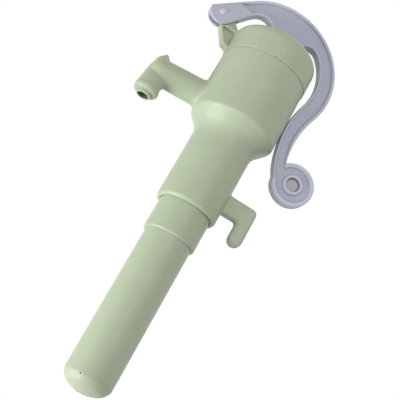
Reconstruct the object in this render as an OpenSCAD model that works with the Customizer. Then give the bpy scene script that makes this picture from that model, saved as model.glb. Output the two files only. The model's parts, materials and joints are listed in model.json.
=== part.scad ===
// Toy hand pump for water play. A curved lever on the cap lifts a piston, the piston draws
// water up the suction tube, and the water runs out of the side spout. A hook on the cylinder
// hangs the pump on the rim of a tub. Millimetres, Z up along the barrel, origin at the lowest
// point of the foot, spout towards -X, hook and handle towards +X.

/* [Barrel] */
// Outer radius of the suction tube
tube_r = 23; // [21:0.5:25]
// Wall of the suction tube
tube_wall = 2; // [1.4:0.1:3]
// Length of the suction tube below the sleeve
tube_len = 154.5; // [120:0.5:180]
// Depth of the socket that holds the suction tube
socket = 21; // [16:0.5:24]
// Wall of the coupling sleeve around the suction tube
sleeve_wall = 2.5; // [2:0.05:4]
// Rounding of the lower edge of the sleeve
sleeve_lip_r = 2.2; // [0.6:0.1:2.4]
// Length of the sleeve that shows below the cylinder
sleeve_len = 32; // [30:0.5:40]
// Step from the sleeve out to the pump cylinder
cyl_step = 4.5; // [3.4:0.1:6]
// Length of the pump cylinder, from its lower edge to the shoulder
cyl_len = 79; // [74:0.5:100]
// Step from the pump cylinder out to the reservoir
res_step = 13.6; // [11:0.1:17]
// Height of the sloping shoulder
shoulder_h = 16; // [14:0.5:26]
// Length of the reservoir above the shoulder
res_len = 67.5; // [60:0.5:80]
// Wall of the cylinder and reservoir
wall = 2.2; // [1.6:0.1:3]
// Rounding of the lower edge of the cylinder
lip_r = 3.8; // [1:0.1:4]
// Hollow rounding where the shoulder leaves the cylinder
shoulder_lo_r = 22; // [8:0.5:24]
// Rounding where the shoulder meets the reservoir
shoulder_hi_r = 3; // [2:0.5:9]

/* [Foot] */
// Height of the domed foot
foot_h = 11.5; // [9:0.5:15]
// Radius of the flat at the lowest point
foot_flat_r = 5.4; // [5.2:0.1:8]
// Radius of the intake holes in the flat of the foot
intake_r = 1.1; // [0.7:0.1:1.2]
// Radius of the ring of intake holes
intake_ring_r = 3.6; // [3.2:0.1:3.8]
// Number of intake holes
intake_n = 6; // [4:1:7]
// Radius of the two small vent holes at the top of the dome
side_hole_r = 0.7; // [0.5:0.1:1.2]

/* [Cap] */
// Height of the cap above the seam
cap_h = 32.3; // [28:0.1:38]
// How far the cap stands out over the reservoir
cap_over = 0.7; // [0.1:0.1:1]
// Rounding of the cap's top edge
cap_edge_r = 10.5; // [6:0.5:13]
// Depth of the ring that plugs into the reservoir
cap_plug = 8; // [5:0.5:12]
// Wall of the plug ring
plug_wall = 2; // [1.4:0.1:3]
// Thickness of the stiffening flange on the pivot bracket
bracket_rim = 3.2; // [2:0.1:4]
// Thickness of the thin web in the pivot bracket
bracket_web = 3; // [2:0.1:4]
// Thickness of the ear that carries the lever
ear_t = 4.6; // [3.6:0.1:5]
// Radius of the ear around the lever pin
ear_r = 5.4; // [4:0.1:5.6]

/* [Spout] */
// Outer radius of the spout arm at its elbow
arm_r = 13.1; // [12:0.1:14.5]
// How much wider the spout arm is at its root
arm_taper = 0.8; // [0.2:0.1:1.5]
// Fall of the spout arm towards the nozzle, in degrees
arm_fall = 4.5; // [2:0.5:7]
// Reach of the nozzle's axis from the reservoir wall
reach = 44.8; // [38:0.1:60]
// Height of the spout's elbow above the shoulder
arm_up = 11.4; // [9:0.1:20]
// Wall of the spout
spout_wall = 2.4; // [1.6:0.1:3]
// Rounding at the root of the spout arm
arm_root_r = 4; // [2:0.5:7]
// Drop of the nozzle below the elbow
drop = 27.2; // [25:0.1:40]
// Outer radius of the nozzle above its lip
nozzle_r = 12; // [11.4:0.1:13]
// How far the lip stands out from the nozzle
lip_out = 0.7; // [0.4:0.1:2]
// Height of the peak above the elbow
peak_h = 19.7; // [16:0.1:23]
// Radius of the bore in the nozzle
nozzle_bore_r = 8; // [6.8:0.1:8.6]
// Radius of the outlet
outlet_r = 5.4; // [3:0.1:6]
// How far the outlet ring stands out below the nozzle's lip
outlet_out = 3; // [1.5:0.1:5]
// Length of the outlet ring
outlet_len = 8; // [5:0.5:12]

/* [Hook] */
// Gap between the hook's finger and the cylinder
rim_gap = 16.35; // [12:0.05:25]
// Width of the finger
finger_w = 14.1; // [10:0.1:18]
// Length of the finger below the hook's arm
finger_len = 21.9; // [15:0.1:35]
// Height of the hook's arm
hook_arm_h = 19.7; // [14:0.1:26]
// Height of the arm's underside above the cylinder's lower edge
hook_up = 16.8; // [12:0.1:30]
// Thickness of the hook
hook_t = 11; // [8:0.5:16]
// Rounding of the hook's edges
hook_edge = 2.4; // [1:0.1:3]

/* [Lever] */
// Thickness of the lever
lever_t = 11; // [10:0.1:14]
// Thickness of the lever's web
web_t = 5; // [4:0.1:6]
// Gap between the reservoir's radius and the lever's arch
arch_gap = 8; // [7:0.1:13]
// Width of the arch
arch_w = 15.4; // [12:0.1:18]
// Width of the rim along the outer edge
rim_out = 3.3; // [2:0.1:4.5]
// Width of the rim along the inner edge
rim_in = 2.3; // [1.5:0.1:3.5]
// Clearance between the handle and the reservoir at rest
hand_gap = 0.4; // [0.4:0.1:2]
// Width of the handle
hand_w = 15; // [12:0.1:17]
// Radius of the handle's end disc
disc_r = 21.6; // [18:0.1:24]
// Width of the end disc's rim
disc_rim = 4.2; // [2:0.1:6]
// Radius of the boss in the end disc
boss_r = 10.2; // [8.4:0.1:12]
// Radius of the round pocket in each side of the end disc
pocket_r = 6.8; // [4:0.1:7.6]
// Depth of the pocket
pocket_d = 4; // [2:0.1:4.2]
// Distance of the lever pin from the reservoir wall
pivot_out = 21.85; // [19:0.05:26]
// Radius of the lever's rounded head
head_r = 13; // [12.2:0.1:14]
// Radius of the lever pin
pin_r = 2; // [1.5:0.1:2.4]
// Swing of the lever
swing = 36; // [24:1:38]
// Width of the lever's stem to the left of the barrel's axis
stem_left = 13.8; // [11:0.1:15]
// Width of the lever's stem to the right of the barrel's axis
stem_right = 15.6; // [11:0.1:16]
// Radius of the two arches beside the stem
arch_fillet = 12.8; // [10:0.1:14]

/* [Pump works] */
// Radius of the piston rod
rod_r = 4; // [3.4:0.1:5]
// Radius of the rod pin
rod_pin_r = 2.5; // [2:0.1:3]
// Thickness of each cheek of the rod's fork
fork_cheek = 3; // [2:0.1:4]
// Wall around the fork's slot
fork_wall = 4; // [2.5:0.1:5]
// Radius of the lever's tongue around the rod pin
tongue_r = 8; // [6.5:0.1:8.5]
// Height of the piston
piston_h = 11; // [9:0.5:15]
// Gap between the piston and the cylinder
piston_gap = 0.5; // [0.4:0.05:0.8]
// Radius of the sealing rings' cross-section
seal_r = 1.15; // [0.8:0.05:1.3]
// Radius of the piston seal's cross-section
piston_seal_r = 1.9; // [1.2:0.1:2.2]
// Thickness of the valve discs
valve_t = 2; // [1:0.1:3]
// Lift of the valve discs
valve_lift = 3; // [1.5:0.1:4]
// Thickness of the foot valve's seat
seat_t = 4; // [3:0.1:5]
// Radius of the valve ports
port_r = 3.2; // [2:0.1:3.6]
// Number of valve ports
port_n = 6; // [4:1:7]

/* [Clearances] */
// Gap between pieces that are fixed together
fit = 0.05; // [0.02:0.01:0.1]
// Running clearance of a pin in its hole
run = 0.05; // [0.02:0.01:0.1]
// Gap between pieces that move past each other
play = 0.4; // [0.3:0.05:0.6]

/* [Hidden] */
$fn = 72;
green = [0.66, 0.71, 0.59];
grey = [0.62, 0.62, 0.69];
black = [0.16, 0.17, 0.17];
white = [0.88, 0.88, 0.85];

// Radii of the barrel, each built on the one inside it
sleeve_r = tube_r + fit + sleeve_wall;
cyl_r = sleeve_r + cyl_step;
bore_r = cyl_r - wall;
res_r = cyl_r + res_step;
res_bore_r = res_r - wall;
cap_r = res_r + cap_over;
spigot_r = tube_r - tube_wall - 1.5;

// Heights of the barrel
z_sleeve = tube_len;
z_cyl = z_sleeve + sleeve_len;
z_sh0 = z_cyl + cyl_len;
z_sh1 = z_sh0 + shoulder_h;
z_seam = z_sh1 + res_len;
z_top = z_seam + cap_h;
flange_t = 5;
slope = atan2(shoulder_h, res_step);
lift_in = wall * tan((90 - slope) / 2);

// Foot valve, from its seat upwards
z_seat = z_cyl + 0.5;
z_valve = z_seat + seat_t;
seat_r = tube_r + 0.9;
peg_r = 3;
peg_head_t = 2.5;
z_peg_head = z_valve + valve_t + valve_lift + fit;
z_collar_top = z_peg_head + peg_head_t + 0.5;
port_ring_r = tube_r - 11.5;
valve_r = port_ring_r + port_r + 2;

// Lever: pivot, arch, handle and the swing of the rod pin
pivot_up = 1.1;
arch_down = 18.3;
hand_down = 69.3;
disc_at = [33, 115.6];
pivot = [-(res_r + pivot_out), z_top + pivot_up];
arch_c = [0.5, z_top - arch_down];
arch_r = res_r + arch_gap;
arch_ro = arch_r + arch_w;
half_swing = swing / 2;
throw_r = -2 * pivot[0] / (1 + cos(half_swing));
rod_pin_at = pivot + throw_r * [cos(half_swing), -sin(half_swing)];
side_shift = throw_r + pivot[0];
stroke = 2 * throw_r * sin(half_swing);
arm_rise = 41;
flat_a = 92;
flat_r = arch_ro + 2.1;
flat_c = arch_c - (flat_r - arch_ro) * [cos(flat_a), sin(flat_a)];
hand_in = [res_r + hand_gap, z_top - hand_down];
hand_out = hand_in + [hand_w, -10];
disc_c = [res_r + disc_at[0], z_top - disc_at[1]];
cheek_gap = ear_t / 2 + play;
z_rim_end = rod_pin_at[1] + 10.5;

// Rod fork and piston
slot_h = rod_pin_r + 0.35;
slot_w = side_shift + rod_pin_r + 0.4;
fork_w = slot_w + fork_wall;
fork_in = web_t / 2 + play;
fork_out = fork_in + fork_cheek;
fork_top = slot_h + fork_wall;
fork_floor = tongue_r + 1.2;
fork_base = 4;
z_nut = z_collar_top + 3;
nut_t = 4;
z_piston = z_nut + nut_t;
z_piston_top = z_piston + piston_h;
tail_r = rod_r - 1;
piston_r = bore_r - piston_gap;
piston_port_ring = rod_r + port_r + 5.5;
piston_valve_r = piston_port_ring + port_r + 2;
z_stop = z_piston_top + valve_t + valve_lift + fit;

// Spout
z_arm = z_sh1 + arm_up;
nozzle_x = -(res_r + reach);
elbow_x = nozzle_x + 3.7;
z_mouth = z_arm - drop;

function unit(v) = v / norm(v);
function arc(c, r, a0, a1, n = 12) =
    [for (i = [0 : n]) c + r * [cos(a0 + (a1 - a0) * i / n), sin(a0 + (a1 - a0) * i / n)]];
function turn(a) = a > 180 ? a - 360 : a < -180 ? a + 360 : a;
function angle(v) = atan2(v[1], v[0]);

// One rounded corner of a path, at q between p and s
function corner(p, q, s, r, n = 8) =
    let (u = unit(p - q), v = unit(s - q), h = acos(u * v) / 2, t = r / tan(h))
    let (c = q + unit(u + v) * r / sin(h), a0 = angle(q + u * t - c), a1 = angle(q + v * t - c))
    arc(c, r, a0, a0 + turn(a1 - a0), n);
// A path with the radius of each corner beside its point
function rounded(path) = [
    for (i = [0 : len(path) - 1])
        let (n = len(path), q = [path[i][0], path[i][1]])
        each path[i][2] > 0
            ? corner([path[(i + n - 1) % n][0], path[(i + n - 1) % n][1]], q,
                     [path[(i + 1) % n][0], path[(i + 1) % n][1]], path[i][2])
            : [q]
];

// Upright plates: a drawing in X and Z, made t thick about the middle plane
module plate(t) {
    rotate([90, 0, 0])
        linear_extrude(t, center = true)
            children();
}
module cross_bore(at, r, l) {
    translate([at[0], 0, at[1]])
        rotate([90, 0, 0])
            cylinder(r = r, h = l, center = true);
}
module ring_of(n, r, a0 = 0) {
    for (i = [0 : n - 1])
        rotate(a0 + 360 * i / n)
            translate([r, 0, 0])
                children();
}
module seal_ring(r, section, z) {
    translate([0, 0, z])
        rotate_extrude()
            translate([r, 0])
                circle(section, $fn = 32);
}

// Suction tube with its domed, perforated foot and a thickened upper end for the seal
seal_z = z_sleeve + socket * 0.55;
seal_at = tube_r - seal_r - fit;
vent_a = -117.4;
module suction_tube() {
    top = z_sleeve + socket;
    color(green)
        difference() {
            rotate_extrude()
                polygon(rounded([
                    [0, 0, 0], [foot_flat_r, 0, 0], [tube_r * 0.48, foot_h * 0.12, 20],
                    [tube_r * 0.81, foot_h * 0.44, 12], [tube_r, foot_h, 9], [tube_r, top, 0.6],
                    [spigot_r, top, 0], [spigot_r, z_sleeve - 4, 0], [tube_r - tube_wall, z_sleeve - 8, 0],
                    [tube_r - tube_wall, foot_h + tube_wall / 2, 7],
                    [tube_r * 0.81 - tube_wall * 0.7, foot_h * 0.44 + tube_wall * 0.9, 10],
                    [tube_r * 0.48 - tube_wall * 0.4, foot_h * 0.12 + tube_wall, 18],
                    [foot_flat_r - 0.4, tube_wall, 0], [0, tube_wall, 0]
                ]));
            translate([0, 0, seal_z])
                rotate_extrude()
                    translate([seal_at - seal_r - fit, -seal_r - fit])
                        square([2 * seal_r + 3 * fit + 1, 2 * (seal_r + fit)]);
            translate([0, 0, -1])
                ring_of(intake_n, intake_ring_r)
                    cylinder(r = intake_r, h = foot_h);
            ring_of(2, 0, vent_a)
                translate([0, 0, foot_h])
                    rotate([0, 90, 0])
                        cylinder(r = side_hole_r, h = tube_r + 1);
        }
}
module lower_seal() {
    color(black)
        seal_ring(seal_at, seal_r, seal_z);
}

// Sleeve that joins the suction tube to the cylinder and carries the foot valve
z_flange = z_cyl + flange_t;
collar_r = bore_r - fit;
upper_seal_z = (z_flange + z_collar_top) / 2;
upper_seal_at = collar_r - seal_r;
module coupling_sleeve() {
    color(green)
        difference() {
            rotate_extrude()
                polygon(rounded([
                    [tube_r + fit, z_sleeve, 0], [sleeve_r, z_sleeve, min(sleeve_lip_r, sleeve_wall - 0.2)],
                    [sleeve_r, z_flange + fit, 0],
                    [collar_r, z_flange + fit, 0], [collar_r, z_collar_top, 0.8],
                    [seat_r + fit, z_collar_top, 0], [seat_r + fit, z_seat, 0], [spigot_r, z_seat, 0],
                    [spigot_r, z_sleeve + socket + fit, 0], [tube_r + fit, z_sleeve + socket + fit, 0]
                ]));
            translate([0, 0, upper_seal_z])
                rotate_extrude()
                    translate([upper_seal_at - seal_r - fit, -seal_r - fit])
                        square([2 * seal_r + 2, 2 * (seal_r + fit)]);
        }
}
module upper_seal() {
    color(black)
        seal_ring(upper_seal_at, seal_r, upper_seal_z);
}

// Foot valve: a ported seat, a peg with a mushroom head, and a disc that lifts along the peg
module foot_valve_seat() {
    color(white)
        difference() {
            translate([0, 0, z_seat])
                cylinder(r = seat_r, h = seat_t);
            translate([0, 0, z_seat - 1])
                ring_of(port_n, port_ring_r)
                    cylinder(r = port_r, h = seat_t + 2);
            translate([0, 0, z_seat - 1])
                cylinder(r = peg_r - 0.5, h = seat_t + 2);
        }
}
module foot_valve_peg() {
    color(white)
        rotate_extrude()
            polygon(rounded([
                [0, z_seat - 2.5, 0], [peg_r - 1, z_seat - 2.5, 0], [peg_r, z_seat - 0.8, 0],
                [peg_r, z_seat, 0], [peg_r - 0.5, z_seat, 0], [peg_r - 0.5, z_valve, 0],
                [peg_r, z_valve, 0], [peg_r, z_peg_head, 0], [peg_r + 2.5, z_peg_head, 0],
                [peg_r + 2.5, z_peg_head + peg_head_t, 1.8], [0, z_peg_head + peg_head_t, 0]
            ]));
}
module foot_valve_disc() {
    color(black)
        difference() {
            translate([0, 0, z_valve + fit])
                cylinder(r = valve_r, h = valve_t - fit);
            translate([0, 0, z_valve - 1])
                cylinder(r = peg_r + play, h = valve_t + 2);
        }
}

// Body: cylinder, shoulder and reservoir in one moulding with the spout and the hook
module barrel_solid() {
    rotate_extrude()
        polygon(rounded([
            [0, z_cyl, 0], [cyl_r, z_cyl, min(lip_r, cyl_step - fit - 0.2)], [cyl_r, z_sh0, shoulder_lo_r],
            [res_r, z_sh1, shoulder_hi_r], [res_r, z_seam, 0], [0, z_seam, 0]
        ]));
}
module barrel_hollow() {
    rotate_extrude()
        polygon(rounded([
            [0, z_flange, 0], [bore_r, z_flange, 0], [bore_r, z_sh0 + lift_in, shoulder_lo_r + wall],
            [res_bore_r, z_sh1 + lift_in, max(1, shoulder_hi_r - wall)], [res_bore_r, z_seam + 1, 0],
            [0, z_seam + 1, 0]
        ]));
    translate([0, 0, z_cyl - 1])
        cylinder(r = sleeve_r + fit, h = flange_t + 2);
}
module spout_solid() {
    root_r = arm_r + arm_taper;
    arm_l = -elbow_x - res_r + 3;
    // arm from the elbow up to the reservoir, with a rounded root
    translate([elbow_x, 0, z_arm])
        rotate([0, 90 - arm_fall, 0])
            rotate_extrude()
                polygon(concat(
                    [[0, 0], [arm_r, 0]],
                    arc([root_r + arm_root_r, arm_l - arm_root_r], arm_root_r, 180, 90, 8),
                    [[root_r + arm_root_r, arm_l + 5], [0, arm_l + 5]]
                ));
    translate([elbow_x, 0, z_arm])
        sphere(r = arm_r);
    // peaked end and nozzle
    translate([nozzle_x, 0, z_arm])
        rotate_extrude()
            polygon(rounded([
                [0, peak_h, 0], [1.2, peak_h - 0.4, 0], [8.4, peak_h - 9.5, 1.5], [8.4, 0, 0],
                [nozzle_r - 0.5, -arm_r, 4], [nozzle_r, -drop + 7, 0.6],
                [nozzle_r + lip_out, -drop + 5.5, 0.8], [nozzle_r + lip_out, -drop, 3],
                [0, -drop, 0]
            ]));
}
module spout_hollow() {
    translate([elbow_x, 0, z_arm])
        rotate([0, 90 - arm_fall, 0])
            cylinder(r1 = arm_r - spout_wall, r2 = arm_r + arm_taper - spout_wall,
                     h = -elbow_x - res_bore_r + 6);
    translate([elbow_x, 0, z_arm])
        sphere(r = arm_r - spout_wall);
    translate([nozzle_x, 0, z_mouth - 1])
        cylinder(r = nozzle_bore_r, h = drop + 1);
    translate([nozzle_x, 0, z_mouth - 1])
        cylinder(r = nozzle_bore_r + 2 + fit, h = 1 + outlet_flange + fit);
}
// Round plate with soft edges, the building block of the hook
module puck(x, z, r) {
    translate([x, 0, z])
        rotate([90, 0, 0])
            rotate_extrude($fn = 32)
                polygon(rounded([
                    [0, -hook_t / 2, 0], [r, -hook_t / 2, min(hook_edge, r - 0.1)],
                    [r, hook_t / 2, min(hook_edge, r - 0.1)], [0, hook_t / 2, 0]
                ]));
}
module hook_solid() {
    z0 = z_cyl + hook_up;
    z1 = z0 + hook_arm_h;
    x0 = cyl_r + rim_gap;
    x1 = x0 + finger_w;
    c = 5;
    hull() {
        puck(x0 + finger_w / 2, z0 - finger_len + finger_w / 2, finger_w / 2);
        puck(x1 - c, z1 - c, c);
        puck(x0 + hook_edge, z1 - hook_edge, hook_edge);
    }
    hull() {
        for (x = [cyl_r - 2, x0 + c], z = [z0 + hook_edge, z1 - hook_edge])
            puck(x, z, hook_edge);
    }
    // hollow corner between the arm and the finger
    plate(hook_t - 2 * hook_edge)
        difference() {
            translate([x0 - 2, z0 - 2])
                square([3, 3]);
            translate([x0 - 2, z0 - 2])
                circle(2);
        }
}
module pump_body() {
    color(green)
        difference() {
            union() {
                barrel_solid();
                spout_solid();
                hook_solid();
            }
            barrel_hollow();
            spout_hollow();
        }
}

// Ring pressed into the nozzle's mouth, with a short spigot round the outlet
outlet_flange = 1.4;
module spout_outlet() {
    color(green)
        translate([nozzle_x, 0, z_mouth])
            rotate_extrude()
                polygon(rounded([
                    [outlet_r, -outlet_out, 0.6], [outlet_r + 2.2, -outlet_out, 0.8], [outlet_r + 2.4, 0, 0],
                    [nozzle_bore_r + 2, 0, 0.5], [nozzle_bore_r + 2, outlet_flange, 0],
                    [nozzle_bore_r - fit, outlet_flange, 0], [nozzle_bore_r - fit, outlet_len, 0],
                    [outlet_r, outlet_len, 0]
                ]));
}

// Cap with the slot for the lever's stem and the bracket for the lever pin
slot_x0 = -stem_left - 1.6;
slot_x1 = stem_right + 3.2;
slot_half = max(fork_out, lever_t / 2) + 1.2;
module cap_shell() {
    difference() {
        rotate_extrude()
            polygon(rounded([
                [0, z_seam - cap_plug, 0], [res_bore_r - fit, z_seam - cap_plug, 0.8],
                [res_bore_r - fit, z_seam + fit, 0], [cap_r, z_seam + fit, 0.4],
                [cap_r, z_top, cap_edge_r], [0, z_top, 0]
            ]));
        rotate_extrude()
            polygon(rounded([
                [0, z_seam - cap_plug - 1, 0], [res_bore_r - fit - plug_wall, z_seam - cap_plug - 1, 0],
                [res_bore_r - fit - plug_wall, z_seam + 3, 0], [cap_r - wall, z_seam + 6, 0],
                [cap_r - wall, z_top - wall, cap_edge_r - wall], [0, z_top - wall, 0]
            ]));
    }
}
// Side view of the bracket below the ear
module bracket_outline(inset = 0) {
    z0 = z_seam + fit + inset;
    z1 = pivot[1] - 9.2 - inset;
    x0 = -(cap_r - 1.2);
    polygon([
        [x0, z0], [-cap_r - 2, z0 + 2.8], [-cap_r - 6.3 + inset * 0.7, z0 + 3.7],
        [pivot[0] + 3.3 + inset * 1.3, z1 - 2.4], [pivot[0] + 5 + inset, z1], [x0, z1]
    ]);
}
module ear_outline() {
    translate(pivot)
        circle(ear_r);
    polygon([
        pivot + ear_r * [cos(36), sin(36)], pivot + ear_r * [cos(216), sin(216)],
        pivot + [5, -11.4], [-cap_r + 1.2, pivot[1] - 13], [-cap_r + 0.8, pivot[1] - 6.6],
        pivot + [16.9, -0.8]
    ]);
}
module top_cap() {
    color(green)
        difference() {
            union() {
                difference() {
                    cap_shell();
                    translate([slot_x0, -slot_half, z_top - wall - 1])
                        cube([slot_x1 - slot_x0, 2 * slot_half, wall + 2]);
                }
                difference() {
                    union() {
                        plate(bracket_web)
                            bracket_outline();
                        plate(lever_t)
                            difference() {
                                bracket_outline();
                                bracket_outline(bracket_rim);
                                translate(pivot)
                                    circle(head_r + play + 0.2);
                            }
                        plate(ear_t)
                            ear_outline();
                    }
                    // the bracket ends at the cap's wall
                    translate([0, 0, z_seam - 1])
                        cylinder(r = cap_r - wall, h = cap_h + 2);
                }
            }
            cross_bore(pivot, pin_r + run, lever_t + 2);
        }
}

// Lever outline, drawn with its edges moved in by io outside and ii inside
arm_n = [cos(90 + arm_rise), sin(90 + arm_rise)];
arm_off = arch_ro - arm_n * (pivot - arch_c);
tip = pivot + arm_off * arm_n
    - sqrt(head_r * head_r - arm_off * arm_off) * [cos(arm_rise), sin(arm_rise)];
low_dir = arch_c - pivot;
low_a = angle(low_dir) - acos((head_r + arch_r) / norm(low_dir));
function fillet_c(x) =
    [x, arch_c[1] + sqrt(pow(arch_r - arch_fillet, 2) - pow(x - arch_c[0], 2))];
fillet_l = fillet_c(-stem_left - arch_fillet);
fillet_r = fillet_c(stem_right + arch_fillet);
// Radius of the curve that turns the other way and just reaches the point p
function swan_r(c, r, p) =
    (pow(p[0] - c[0], 2) + pow(p[1] - c[1], 2) - r * r) / (2 * (r - p[0] + c[0]));
swan_in_r = swan_r(arch_c, arch_r, hand_in);
swan_in_c = hand_in + [swan_in_r, 0];
swan_out_r = swan_r(flat_c, flat_r, hand_out);
swan_out_c = hand_out + [swan_out_r, 0];
function lever_path(io = 0, ii = 0) =
    let (al = angle(fillet_l - arch_c), ar = angle(fillet_r - arch_c))
    let (bi = angle(swan_in_c - arch_c), bo = angle(swan_out_c - flat_c))
    let (ei = asin((disc_c[1] - disc_r * 0.2 - swan_in_c[1]) / swan_in_r))
    let (eo = asin((disc_c[1] + disc_r * 0.5 - swan_out_c[1]) / swan_out_r))
    concat(
        arc(pivot, head_r, (angle(tip - pivot) + 360) % 360, 360 + low_a, 18),
        arc(arch_c, arch_r + ii, 180 + low_a, al, 6),
        arc(fillet_l, arch_fillet + ii, al, 0, 14),
        [[-stem_left + ii, z_rim_end]],
        arc(rod_pin_at, tongue_r, 195, 345, 14),
        [[stem_right - ii, z_rim_end]],
        arc(fillet_r, arch_fillet + ii, 180, ar, 14),
        arc(arch_c, arch_r + ii, ar, bi, 18),
        arc(swan_in_c, swan_in_r - ii, 180 + bi, 180 - ei, 18),
        [disc_c],
        [for (i = [0 : 14]) let (a = 180 - eo + (bo + eo) * i / 14, w = io * min(1, 0.3 + i / 10))
            swan_out_c + (swan_out_r + w) * [cos(a), sin(a)]],
        arc(flat_c, flat_r - io, bo, flat_a, 16),
        arc(arch_c, arch_ro - io, flat_a, 90 + arm_rise, 26),
        io > 0 ? [tip] : []
    );
module lever_outline() {
    polygon(lever_path());
    translate(disc_c)
        circle(disc_r);
}
// Sunk field between the rims, from the step at the fork down to the end disc
module lever_field() {
    difference() {
        union() {
            polygon(lever_path(rim_out, rim_in));
            translate(disc_c)
                circle(disc_r - disc_rim);
            translate([-stem_left - 1, rod_pin_at[1] - tongue_r - 1])
                square([stem_left + stem_right + 2, z_rim_end - rod_pin_at[1] + tongue_r + 1]);
        }
        translate(disc_c)
            circle(boss_r);
        translate(pivot)
            polygon([[-40, 30.6], [12.3, 19.5], [24.2, 17], [29, 16], [29, -30], [-40, -30]]);
    }
}
// Room for the ear inside the lever's head
module head_slot() {
    translate(pivot) {
        circle(ear_r + play + 0.3);
        polygon([
            [cos(50), sin(50)] * (ear_r + play + 0.3), [19, 1.2], [34, -8], [34, -50],
            [cos(216), sin(216)] * 50, [cos(216), sin(216)] * ear_r
        ]);
    }
}
module lever() {
    field_d = (lever_t - web_t) / 2;
    color(grey)
        difference() {
            plate(lever_t)
                lever_outline();
            for (s = [-1, 1])
                translate([0, s * (web_t / 2 + field_d / 2 + 0.5), 0])
                    plate(field_d + 1)
                        lever_field();
            plate(2 * cheek_gap)
                head_slot();
            cross_bore(pivot, pin_r, lever_t + 2);
            cross_bore(rod_pin_at, rod_pin_r, lever_t + 2);
            for (s = [-1, 1])
                translate([0, s * (lever_t / 2 + 0.5 - pocket_d / 2), 0])
                    cross_bore(disc_c, pocket_r, pocket_d + 1);
        }
}

// Lever pin with a domed head on the front and a pushed-on cap at the back
module lever_pin() {
    color(grey)
        translate([pivot[0], 0, pivot[1]])
            rotate([90, 0, 0])
                rotate_extrude()
                    polygon(rounded([
                        [0, -lever_t / 2 - 1.4, 0], [pin_r, -lever_t / 2 - 1.4, 0.4], [pin_r, lever_t / 2, 0],
                        [pin_r + 1, lever_t / 2, 0], [pin_r + 1, lever_t / 2 + 1.4, 1.2],
                        [0, lever_t / 2 + 1.4, 0]
                    ]));
}
module lever_pin_cap() {
    color(grey)
        translate([pivot[0], 0, pivot[1]])
            rotate([90, 0, 0])
                rotate_extrude()
                    polygon(rounded([
                        [pin_r, -lever_t / 2, 0], [pin_r + 1.4, -lever_t / 2, 0],
                        [pin_r + 1.4, -lever_t / 2 - 2.2, 1], [0, -lever_t / 2 - 2.2, 0],
                        [0, -lever_t / 2 - 1.4, 0], [pin_r, -lever_t / 2 - 1.4, 0]
                    ]));
}
module rod_pin() {
    color(white)
        cross_bore(rod_pin_at, rod_pin_r, 2 * fork_out);
}

// Piston rod: a fork with cross slots for the rod pin, and a thinner tail for the piston
module piston_rod() {
    zp = rod_pin_at[1];
    color(white)
        difference() {
            union() {
                translate([0, 0, z_piston_top])
                    cylinder(r = rod_r, h = zp - fork_floor - z_piston_top - 1);
                translate([0, 0, z_nut])
                    cylinder(r = tail_r, h = z_piston_top - z_nut + 1);
                plate(2 * fork_out)
                    polygon(rounded([
                        [-fork_w, zp + fork_top, 2], [-fork_w, zp - fork_floor - fork_base, 3],
                        [fork_w, zp - fork_floor - fork_base, 3], [fork_w, zp + fork_top, 2]
                    ]));
            }
            translate([-fork_w - 1, -fork_in, zp - fork_floor])
                cube([2 * fork_w + 2, 2 * fork_in, fork_floor + fork_top + 1]);
            plate(2 * fork_out + 2)
                translate([0, zp]) {
                    square([2 * (slot_w - slot_h), 2 * slot_h], center = true);
                    for (s = [-1, 1])
                        translate([s * (slot_w - slot_h), 0])
                            circle(slot_h);
                }
        }
}

// Piston with its seal, lifting valve disc, stop collar and nut
piston_seal_at = piston_r + piston_gap - play - piston_seal_r;
module piston() {
    mid = z_piston + piston_h / 2;
    color(white)
        difference() {
            translate([0, 0, z_piston])
                cylinder(r = piston_r, h = piston_h);
            translate([0, 0, mid])
                rotate_extrude()
                    translate([piston_seal_at - piston_seal_r - fit, -piston_seal_r - fit])
                        square([2 * piston_seal_r + 3, 2 * (piston_seal_r + fit)]);
            translate([0, 0, z_piston - 1]) {
                cylinder(r = tail_r, h = piston_h + 2);
                ring_of(port_n, piston_port_ring)
                    cylinder(r = port_r, h = piston_h + 2);
            }
        }
}
module piston_seal() {
    color(black)
        seal_ring(piston_seal_at, piston_seal_r, z_piston + piston_h / 2);
}
module piston_valve_disc() {
    color(black)
        difference() {
            translate([0, 0, z_piston_top + fit])
                cylinder(r = piston_valve_r, h = valve_t - fit);
            translate([0, 0, z_piston_top - 1])
                cylinder(r = rod_r + play, h = valve_t + 2);
        }
}
module piston_collar() {
    color(white)
        difference() {
            translate([0, 0, z_stop])
                rotate_extrude()
                    polygon(rounded([[0, 0, 0], [rod_r + 3.4, 0, 0], [rod_r + 3.4, 3.4, 1], [0, 3.4, 0]]));
            translate([0, 0, z_stop - 1])
                cylinder(r = rod_r, h = 6);
        }
}
module piston_nut() {
    across = tail_r + 3;
    color(white)
        difference() {
            translate([0, 0, z_nut])
                linear_extrude(nut_t)
                    polygon([for (a = [30 : 60 : 330]) across / cos(30) * [cos(a), sin(a)]]);
            translate([0, 0, z_nut - 1])
                cylinder(r = tail_r, h = nut_t + 2);
        }
}

suction_tube();
lower_seal();
coupling_sleeve();
upper_seal();
foot_valve_seat();
foot_valve_peg();
foot_valve_disc();
pump_body();
spout_outlet();
top_cap();
lever();
lever_pin();
lever_pin_cap();
rod_pin();
piston_rod();
piston();
piston_seal();
piston_valve_disc();
piston_collar();
piston_nut();
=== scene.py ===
import json
import math

import bmesh
import bpy
import numpy as np
from mathutils import Matrix, Vector


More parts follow.
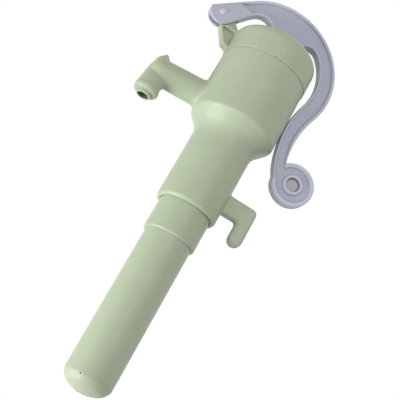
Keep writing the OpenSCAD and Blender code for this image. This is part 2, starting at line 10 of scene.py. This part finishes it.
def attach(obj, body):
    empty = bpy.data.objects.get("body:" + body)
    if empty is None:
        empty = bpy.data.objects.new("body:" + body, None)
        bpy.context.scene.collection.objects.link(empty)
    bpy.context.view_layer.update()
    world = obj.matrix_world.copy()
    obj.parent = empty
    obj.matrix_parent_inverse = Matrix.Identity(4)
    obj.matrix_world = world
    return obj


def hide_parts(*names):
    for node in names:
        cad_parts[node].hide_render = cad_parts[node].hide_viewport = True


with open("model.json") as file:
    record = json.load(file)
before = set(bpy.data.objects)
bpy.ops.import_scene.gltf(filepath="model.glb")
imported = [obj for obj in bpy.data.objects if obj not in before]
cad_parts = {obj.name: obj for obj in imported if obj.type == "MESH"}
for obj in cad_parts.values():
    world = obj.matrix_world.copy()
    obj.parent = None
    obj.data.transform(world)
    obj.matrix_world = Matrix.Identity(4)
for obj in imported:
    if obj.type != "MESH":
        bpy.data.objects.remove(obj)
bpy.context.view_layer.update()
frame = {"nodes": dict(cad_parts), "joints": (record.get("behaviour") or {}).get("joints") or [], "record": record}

MM = 0.001
X, Y, Z = range(3)
scene = bpy.context.scene
scene.view_settings.view_transform = "Standard"
nodes = frame["nodes"]
joints = {joint["name"]: joint for joint in frame["joints"]}
mounts = {mount["name"]: mount for mount in frame["record"]["mounts"]}

# Barrel: outer radii, heights and edge radii of the cylinder, the shoulder, the reservoir and the cap
CYL_R = 30.05 * MM
RES_R = 43.65 * MM
CAP_R = 44.35 * MM
Z_CYL = 186.5 * MM
Z_SHOULDER = 265.5 * MM
Z_RES = 281.5 * MM
Z_SEAM = 349 * MM
SEAM_GAP = 0.05 * MM
CYL_EDGE = 3.8 * MM
SHOULDER_BEND = 22 * MM
RES_EDGE = 3 * MM

# Spout and hook: the nozzle's axis, and the middles of the places that are eased or filled
NOZZLE = (mounts["spout_outlet"]["pos_m"][X], 0, 0)
UNDER_ELBOW = (-75.5 * MM, 0, 279 * MM)
SPOUT_ROOT = (-45.5 * MM, 0, 296 * MM)
ELBOW_TOP = (-98.5 * MM, 0, 296 * MM)
ELBOW_SIDE = (-100.5 * MM, 0, 290 * MM)
HOOK_GAP = 16.35 * MM
HOOK_CORNER = (CYL_R + HOOK_GAP, 0, mounts["hook"]["pos_m"][Z])

# Lever: pivot, middle of the end disc, end of the handle, and half the thickness of the rims and the web
PIVOT = tuple(joints["lever_swing"]["pos_m"])
DISC_C = (76.65 * MM, 0, 265.7 * MM)
HANDLE_END = (55.2 * MM, 0, 264.5 * MM)
LEVER_HALF = 5.5 * MM
WEB_HALF = 2.5 * MM

# Camera: the photograph looks up at the pump from below its foot, rolled so that the pump leans right
CAM_AT = (-0.6 * MM, -776.5 * MM, -88.6 * MM)
CAM_PAN = math.radians(0.57)
CAM_TILT = math.radians(20.65)
CAM_ROLL = math.radians(29.70)
CAM_TURN = math.radians(-6)
CAM_LENS = 81.0
CAM_SENSOR = 36.0


def photo_camera():
    """The photograph's camera, set before the lever's plane and then turned about the barrel's axis."""
    side = Vector((math.cos(CAM_PAN), -math.sin(CAM_PAN), 0))
    level = Vector((math.sin(CAM_PAN), math.cos(CAM_PAN), 0))
    ahead = math.cos(CAM_TILT) * level + math.sin(CAM_TILT) * Vector((0, 0, 1))
    up = side.cross(ahead)
    right = math.cos(CAM_ROLL) * side + math.sin(CAM_ROLL) * up
    top = math.cos(CAM_ROLL) * up - math.sin(CAM_ROLL) * side
    data = bpy.data.cameras.new("photo_camera")
    data.lens = CAM_LENS
    data.sensor_width = CAM_SENSOR
    data.clip_start = 10 * MM
    camera = bpy.data.objects.new("photo_camera", data)
    scene.collection.objects.link(camera)
    before = Matrix.Translation(CAM_AT) @ Matrix((right, top, -ahead)).transposed().to_4x4()
    camera.matrix_world = Matrix.Rotation(CAM_TURN, 4, "Z") @ before
    return camera


scene.camera = photo_camera()

# Meshes: how close points are welded, and how far towards its neighbours a point moves in one round
WELD = 0.001 * MM
PULL = 0.5

# True surfaces: how close points are set onto them, wholly and fading, and how far outside an edge and
# past the middle of its corner points still belong to its wall or its face
NEAR_ROUND = (0.12 * MM, 0.3 * MM)
NEAR_FLAT = (0.1 * MM, 0.25 * MM)
EDGE_OUTSIDE = 0.4 * MM
EDGE_CORNER = 0.15 * MM
TINY = 1e-9


def rounded(path, steps):
    """Points of a closed path whose corners (x, z, radius) are rounded."""
    points = []
    for i, (x, z, radius) in enumerate(path):
        corner = np.array((x, z))
        if radius <= 0:
            points.append(corner)
            continue
        back = np.array(path[i - 1][:2]) - corner
        on = np.array(path[(i + 1) % len(path)][:2]) - corner
        back /= np.linalg.norm(back)
        on /= np.linalg.norm(on)
        half = math.acos(float(back @ on)) / 2
        cut = radius / math.tan(half)
        inward = (back + on) / np.linalg.norm(back + on)
        centre = corner + inward * radius / math.sin(half)
        first = corner + back * cut - centre
        last = corner + on * cut - centre
        angle = math.atan2(first[1], first[0])
        sweep = (math.atan2(last[1], last[0]) - angle + math.pi) % (2 * math.pi) - math.pi
        points += [centre + radius * np.array((math.cos(a), math.sin(a)))
                   for a in np.linspace(angle, angle + sweep, steps + 1)]
    return np.array(points)


def take_verts(mesh):
    co = np.empty(len(mesh.vertices) * 3, np.float32)
    mesh.vertices.foreach_get("co", co)
    return co.reshape(-1, 3).astype(float)


def put_verts(mesh, co):
    mesh.vertices.foreach_set("co", co.astype(np.float32).ravel())
    mesh.update()


def relax(mesh, rounds, where=None):
    """Rounds the edges of an even mesh by moving each point towards its neighbours."""
    edges = np.empty(len(mesh.edges) * 2, np.int64)
    mesh.edges.foreach_get("vertices", edges)
    edges = edges.reshape(-1, 2)
    co = take_verts(mesh)
    pull = np.full(len(co), PULL)
    used = np.arange(len(co))
    if where is not None:
        pull = PULL * where
        edges = edges[(where[edges] > 0).any(axis=1)]
        used, edges = np.unique(edges, return_inverse=True)
        edges = edges.reshape(-1, 2)
    a, b = edges.T
    n = len(used)
    part = co[used]
    pull = pull[used, None]
    count = np.maximum(np.bincount(a, minlength=n) + np.bincount(b, minlength=n), 1)[:, None]
    for _ in range(rounds):
        total = np.stack([np.bincount(a, part[b, k], n) + np.bincount(b, part[a, k], n)
                          for k in (X, Y, Z)], axis=1)
        part += pull * (total / count - part)
    co[used] = part
    put_verts(mesh, co)


def soften(node, name, voxel, rounds):
    """A copy of a CAD node with an even skin and moulded, softly rounded edges."""
    mesh = nodes[node].data.copy()
    mesh.materials.clear()
    weld = bmesh.new()
    weld.from_mesh(mesh)
    bmesh.ops.remove_doubles(weld, verts=weld.verts, dist=WELD)
    weld.to_mesh(mesh)
    weld.free()
    obj = bpy.data.objects.new(name, mesh)
    scene.collection.objects.link(obj)
    skin = obj.modifiers.new("skin", "REMESH")
    skin.mode = "VOXEL"
    skin.voxel_size = voxel
    skin.adaptivity = 0
    bpy.context.view_layer.update()
    done = bpy.data.meshes.new_from_object(obj.evaluated_get(bpy.context.evaluated_depsgraph_get()))
    obj.modifiers.clear()
    obj.data = done
    bpy.data.meshes.remove(mesh)
    done.name = name
    relax(done, rounds)
    done.shade_smooth()
    return obj


def settle(distance, full, none):
    """1 where the distance is below full, fading to 0 at none."""
    t = np.clip((none - np.abs(distance)) / (none - full), 0, 1)
    return t * t * (3 - 2 * t)


def true_round(obj, profile):
    """Brings the points that lie close to a turned profile (radius, z) exactly onto it."""
    co = take_verts(obj.data)
    r = np.hypot(co[:, X], co[:, Y])
    want = np.interp(co[:, Z], profile[:, 1], profile[:, 0])
    keep = settle(r - want, *NEAR_ROUND)
    keep *= (co[:, Z] > profile[0, 1]) & (co[:, Z] < profile[-1, 1])
    scale = 1 + keep * (want / np.maximum(r, TINY) - 1)
    co[:, X] *= scale
    co[:, Y] *= scale
    put_verts(obj.data, co)


def true_edge(obj, radius, level, side, reach):
    """Brings the points near an outer edge of a turned piece back onto its wall and its end face."""
    co = take_verts(obj.data)
    r = np.hypot(co[:, X], co[:, Y])
    dr = radius - r
    dz = side * (level - co[:, Z])
    near = (dr > -EDGE_OUTSIDE) & (dr < reach) & (dz > -EDGE_OUTSIDE) & (dz < reach)
    wall = near & (dr <= dz + EDGE_CORNER)
    face = near & (dz <= dr + EDGE_CORNER)
    scale = np.where(wall, radius / np.maximum(r, TINY), 1)
    co[:, X] *= scale
    co[:, Y] *= scale
    co[face, Z] = level
    put_verts(obj.data, co)


def true_flat(obj, axis, levels):
    """Brings the points that lie close to a flat level exactly onto it."""
    co = take_verts(obj.data)
    for level in levels:
        d = co[:, axis] - level
        co[:, axis] -= d * settle(d, *NEAR_FLAT)
    put_verts(obj.data, co)


def ball(obj, centre, full, none):
    """1 near a point, fading to 0 at the distance none, for each point of a piece."""
    d = np.linalg.norm(take_verts(obj.data) - np.array(centre), axis=1)
    return settle(d, full, none)


def ease(obj, centre, full, none, rounds):
    """Rounds a piece further near a point."""
    relax(obj.data, rounds, ball(obj, centre, full, none))


def push(obj, centre, full, none, shift):
    """Moves the points near a point by a smooth bump."""
    co = take_verts(obj.data)
    co += ball(obj, centre, full, none)[:, None] * np.array(shift)
    put_verts(obj.data, co)


# Shaders: the inputs and the output of a colour mix go by number, because their names repeat
MIX_A, MIX_B, MIX_COLOUR = 6, 7, 2
WHITE = (1, 1, 1, 1)


class Shader:
    """Shorthand for the nodes of one material or of the world."""

    def __init__(self, owner, output):
        owner.use_nodes = True
        self.tree = owner.node_tree
        self.tree.nodes.clear()
        self.out = self.add(output, {})

    def add(self, kind, inputs, **settings):
        """A new node with its settings made and its inputs linked or set."""
        node = self.tree.nodes.new("ShaderNode" + kind)
        for key, value in settings.items():
            setattr(node, key, value)
        for key, value in inputs.items():
            if isinstance(value, bpy.types.NodeSocket):
                self.tree.links.new(value, node.inputs[key])
            else:
                node.inputs[key].default_value = value
        return node

    def surface(self, result):
        self.tree.links.new(result, self.out.inputs["Surface"])

    def locate(self):
        """Makes the place on the piece known, whole and along each axis."""
        self.place = self.add("TexCoord", {}).outputs["Object"]
        self.along = self.add("SeparateXYZ", {"Vector": self.place}).outputs

    def math(self, operation, *values):
        return self.add("Math", dict(enumerate(values)), operation=operation).outputs[0]

    def both(self, a, b):
        return self.math("MULTIPLY", a, b)

    def noise(self, scale, detail, roughness=0.5):
        inputs = {"Vector": self.place, "Scale": scale, "Detail": detail, "Roughness": roughness}
        return self.add("TexNoise", inputs).outputs["Fac"]

    def fade(self, value, start, end, first=0, last=1):
        """Runs from first to last as a value goes from start to end."""
        inputs = {"Value": value, "From Min": start, "From Max": end, "To Min": first, "To Max": last}
        return self.add("MapRange", inputs).outputs["Result"]

    def mix(self, factor, a, b):
        node = self.add("Mix", {"Factor": factor, MIX_A: a, MIX_B: b}, data_type="RGBA")
        return node.outputs[MIX_COLOUR]

    def distance(self, axes, point):
        """Distance from a point, measured along the named axes alone."""
        level = self.add("CombineXYZ", {axis: self.along[axis] for axis in axes})
        inputs = {0: level.outputs["Vector"], 1: point}
        return self.add("VectorMath", inputs, operation="DISTANCE").outputs["Value"]

    def mix_seen(self, share, unseen, seen):
        """One shader for light, and a share of another for what the eye sees, straight or reflected."""
        path = self.add("LightPath", {}).outputs
        ray = path["Is Camera Ray"]
        for other in ("Is Glossy Ray", "Is Transmission Ray"):
            ray = self.math("MAXIMUM", ray, path[other])
        return self.add("MixShader", {"Fac": self.both(ray, share), 1: unseen, 2: seen}).outputs["Shader"]


# Materials: each noise as scale per metre, detail and roughness, and what it is spread from and to
CLOUDS = (38, 3)
CLOUDS_FADE = (0.35, 0.65, 0, 0.55)
SPECKS = (420, 2, 0.6)
SPECKS_FADE = (0.52, 0.75, 0, 0.22)
WEAR = (160, 3)
WEAR_FADE = (0.3, 0.6, 0.35, 1)
EDGES_FADE = (0.52, 0.60, 0, 0.5)
GLOSS = (95, 4)
GLOSS_FADE = (0.3, 0.7)
GLOSS_LESS = 0.05
GLOSS_MORE = 0.06
GRAIN = (1500, 2)
GRAIN_DEPTH = 0.2 * MM

# Where one colour fades into the next, mostly painted highlight and painted shade: distances from the pivot,
# the lever's middle plane, the disc's middle, the nozzle's axis and the barrel's axis, and heights
HEAD_FADE = (24 * MM, 34 * MM)
RIM_FADE = (2.7 * MM, 5.2 * MM)
WALL_FADE = (6.7 * MM, 7.3 * MM)
WALL_TOP = (4.4 * MM, 5.4 * MM)
POCKET_FADE = (5.8 * MM, 6.4 * MM)
POCKET_TOP = (2 * MM, 3 * MM)
BORE_FADE = (5.6 * MM, 6 * MM)
BORE_TOP = (296 * MM, 298 * MM)
INTAKE_FADE = (5 * MM, 5.2 * MM)
INTAKE_FACE = (0.1 * MM, 0.2 * MM)
INTAKE_TOP = (4 * MM, 5 * MM)


def srgb(r, g, b):
    def linear(c):
        c /= 255
        return c / 12.92 if c <= 0.04045 else ((c + 0.055) / 1.055) ** 2.4
    return (linear(r), linear(g), linear(b), 1)


def lever_painted_light_and_pocket(shader, tone):
    """Painted light on the lever: raised rims and faces painted paler as a painted highlight, less so at the head,
    over the web left darker as painted shade; painted shade on the wall of the end disc's pocket; and the pocket's
    own grey floor.
    """
    depth = shader.math("ABSOLUTE", shader.along["Y"])
    # Raised rims and faces painted paler as a painted highlight, less pale near the head, so that the web between
    # them reads as painted shade
    past_head = shader.fade(shader.distance("XZ", PIVOT), *HEAD_FADE)
    painted_rim_highlight = shader.mix(past_head, srgb(184, 186, 200), srgb(201, 203, 215))
    tone = shader.mix(shader.fade(depth, *RIM_FADE), tone, painted_rim_highlight)
    from_disc = shader.distance("XZ", DISC_C)
    # Painted shade: the wall of the end disc's pocket is painted dark
    wall = shader.both(shader.fade(from_disc, *WALL_FADE, 1, 0), shader.fade(depth, *WALL_TOP, 1, 0))
    tone = shader.mix(wall, tone, srgb(120, 120, 126))
    pocket = shader.both(shader.fade(from_disc, *POCKET_FADE, 1, 0), shader.fade(depth, *POCKET_TOP, 1, 0))
    return shader.mix(pocket, tone, srgb(190, 189, 193))


def painted_hole_shade(shader, tone):
    """Painted shade: the inside of the nozzle's bore and of the intake holes painted dark."""
    height = shader.along["Z"]
    # The nozzle's bore painted darker as painted shade
    bore = shader.fade(shader.distance("XY", NOZZLE), *BORE_FADE, 1, 0)
    tone = shader.mix(shader.both(bore, shader.fade(height, *BORE_TOP, 1, 0)), tone, srgb(112, 120, 98))
    # The intake holes painted near black as painted shade, to show as dark dots
    intake = shader.fade(shader.distance("XY", (0, 0, 0)), *INTAKE_FADE, 1, 0)
    deep = shader.both(shader.fade(height, *INTAKE_FACE), shader.fade(height, *INTAKE_TOP, 1, 0))
    return shader.mix(shader.both(intake, deep), tone, srgb(46, 50, 40))


def moulded(name, base, shade, pale, rough, spec=0.45, grain=0.015, under=None, over=None):
    """Satin moulded plastic: faint clouding, a fine moulded grain and paler, worn edges.

    The tint called under is coloured below the wear, and the one called over on top of it.
    """
    mat = bpy.data.materials.new(name)
    shader = Shader(mat, "OutputMaterial")
    shader.locate()
    tone = shader.mix(shader.fade(shader.noise(*CLOUDS), *CLOUDS_FADE), base, shade)
    if under:
        tone = under(shader, tone)
    tone = shader.mix(shader.fade(shader.noise(*SPECKS), *SPECKS_FADE), tone, pale)
    edges = shader.fade(shader.add("NewGeometry", {}).outputs["Pointiness"], *EDGES_FADE)
    patches = shader.fade(shader.noise(*WEAR), *WEAR_FADE)
    tone = shader.mix(shader.both(edges, patches), tone, pale)
    if over:
        tone = over(shader, tone)
    gloss = shader.fade(shader.noise(*GLOSS), *GLOSS_FADE, rough - GLOSS_LESS, rough + GLOSS_MORE)
    bump = shader.add("Bump", {"Strength": grain, "Distance": GRAIN_DEPTH, "Height": shader.noise(*GRAIN)})
    plastic = shader.add("BsdfPrincipled", {
        "Base Color": tone, "Roughness": gloss, "Specular IOR Level": spec, "Normal": bump.outputs["Normal"],
    })
    shader.surface(plastic.outputs["BSDF"])
    return mat


green = moulded("green_satin_plastic", base=srgb(176, 187, 160), shade=srgb(170, 183, 154),
                pale=srgb(196, 206, 182), rough=0.42, over=painted_hole_shade)
grey = moulded("grey_satin_plastic", base=srgb(210, 212, 223), shade=srgb(204, 206, 218),
               pale=srgb(222, 224, 231), rough=0.38)
lever_grey = moulded("lever_grey_plastic", base=srgb(182, 184, 202), shade=srgb(176, 178, 197),
                     pale=srgb(216, 218, 227), rough=0.40, under=lever_painted_light_and_pocket)
black = moulded("black_rubber", base=srgb(40, 42, 42), shade=srgb(32, 33, 34),
                pale=srgb(64, 65, 66), rough=0.7, spec=0.3, grain=0.2)
white = moulded("white_plastic", base=srgb(224, 224, 217), shade=srgb(214, 215, 208),
                pale=srgb(236, 236, 232), rough=0.45)

# Pieces: the angle at which an edge stays sharp, and how far round its lower edge the barrel's wall runs
SPLIT_ANGLE = math.radians(32)
LOWER_ROUND = 1 * MM


def finish_piece(obj, body, slot, mat, *replaced):
    obj.data.materials.clear()
    obj.data.materials.append(mat)
    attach(obj, body)
    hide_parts(*replaced)


def show(mat, *names):
    """Shows CAD nodes as they are, smooth between their sharp edges."""
    for name in names:
        obj = nodes[name]
        obj.data.materials.clear()
        obj.data.materials.append(mat)
        for poly in obj.data.polygons:
            poly.use_smooth = True
        split = obj.modifiers.new("split", "EDGE_SPLIT")
        split.split_angle = SPLIT_ANGLE


def barrel_wall():
    """The outer wall of the cylinder, the shoulder and the reservoir, as points (radius, z)."""
    path = rounded([
        (0, Z_CYL, 0), (CYL_R, Z_CYL, CYL_EDGE), (CYL_R, Z_SHOULDER, SHOULDER_BEND),
        (RES_R, Z_RES, RES_EDGE), (RES_R, Z_SEAM, 0), (0, Z_SEAM, 0),
    ], steps=16)
    return path[path[:, 0] > CYL_R - LOWER_ROUND]


def make_body():
    body = soften("pump_body", "pump_body_skin", voxel=0.7 * MM, rounds=10)
    ease(body, UNDER_ELBOW, full=5 * MM, none=11 * MM, rounds=70)
    ease(body, SPOUT_ROOT, full=17 * MM, none=24 * MM, rounds=50)
    ease(body, ELBOW_TOP, full=6 * MM, none=12 * MM, rounds=60)
    push(body, ELBOW_SIDE, full=1 * MM, none=10 * MM, shift=(-1.1 * MM, 0, 0.3 * MM))
    ease(body, HOOK_CORNER, full=3 * MM, none=8 * MM, rounds=40)
    true_round(body, barrel_wall())
    true_edge(body, RES_R, Z_SEAM, side=1, reach=2.2 * MM)
    finish_piece(body, "barrel", "green_plastic", green, "pump_body")


def make_cap():
    cap = soften("top_cap", "top_cap_skin", voxel=0.5 * MM, rounds=12)
    true_edge(cap, CAP_R, Z_SEAM + SEAM_GAP, side=-1, reach=1.4 * MM)
    finish_piece(cap, "barrel", "green_plastic", green, "top_cap")


def make_lever():
    lever = soften("lever", "lever_skin", voxel=0.4 * MM, rounds=20)
    ease(lever, HANDLE_END, full=3 * MM, none=8 * MM, rounds=120)
    true_flat(lever, Y, (-LEVER_HALF, -WEB_HALF, WEB_HALF, LEVER_HALF))
    finish_piece(lever, "lever", "grey_plastic", lever_grey, "lever")


make_body()
make_cap()
make_lever()
show(green, "suction_tube", "coupling_sleeve", "spout_outlet")
show(grey, "lever_pin", "lever_pin_cap")
show(black, "lower_seal", "upper_seal", "foot_valve_disc", "piston_seal", "piston_valve_disc")
show(white, "foot_valve_seat", "foot_valve_peg", "rod_pin", "piston_rod", "piston", "piston_collar",
     "piston_nut")

# Floor, in metres: far below because the photograph looks up at the foot, and almost white to the eye
FLOOR_Z = -1.6
FLOOR_HALF = 20
FLOOR_WHITE = 0.94
FLOOR_COLOUR = (0.9, 0.9, 0.9, 1)


def make_floor():
    mesh = bpy.data.meshes.new("floor")
    corners = [(x * FLOOR_HALF, y * FLOOR_HALF, FLOOR_Z) for x, y in ((-1, -1), (1, -1), (1, 1), (-1, 1))]
    mesh.from_pydata(corners, [], [(0, 1, 2, 3)])
    floor = bpy.data.objects.new("floor", mesh)
    scene.collection.objects.link(floor)
    paper = bpy.data.materials.new("white_paper")
    shader = Shader(paper, "OutputMaterial")
    lit = shader.add("BsdfDiffuse", {"Color": FLOOR_COLOUR}).outputs["BSDF"]
    plain = shader.add("Emission", {"Color": WHITE, "Strength": 1.0}).outputs["Emission"]
    shader.surface(shader.mix_seen(FLOOR_WHITE, lit, plain))
    mesh.materials.append(paper)


make_floor()

# Light: a white surround and two soft boxes, the stronger low on the photograph's left
SURROUND = 0.46


def make_surround():
    world = bpy.data.worlds.new("studio")
    scene.world = world
    shader = Shader(world, "OutputWorld")
    light = shader.add("Background", {"Color": WHITE, "Strength": SURROUND}).outputs["Background"]
    plain = shader.add("Background", {"Color": WHITE, "Strength": 1.0}).outputs["Background"]
    shader.surface(shader.mix_seen(1.0, light, plain))


def soft_box(name, at, aim, size, power):
    light = bpy.data.lights.new(name, "AREA")
    light.shape = "DISK"
    light.size = size
    light.energy = power
    obj = bpy.data.objects.new(name, light)
    scene.collection.objects.link(obj)
    obj.location = at
    obj.rotation_mode = "QUATERNION"
    obj.rotation_quaternion = (Vector(at) - Vector(aim)).to_track_quat("Z", "Y")


make_surround()
soft_box("key", at=(-1.10, -0.16, -0.92), aim=(0, 0, 0.34), size=1.2, power=27)
soft_box("fill", at=(0.10, -0.90, 0.50), aim=(0.02, 0, 0.40), size=0.7, power=2.3)
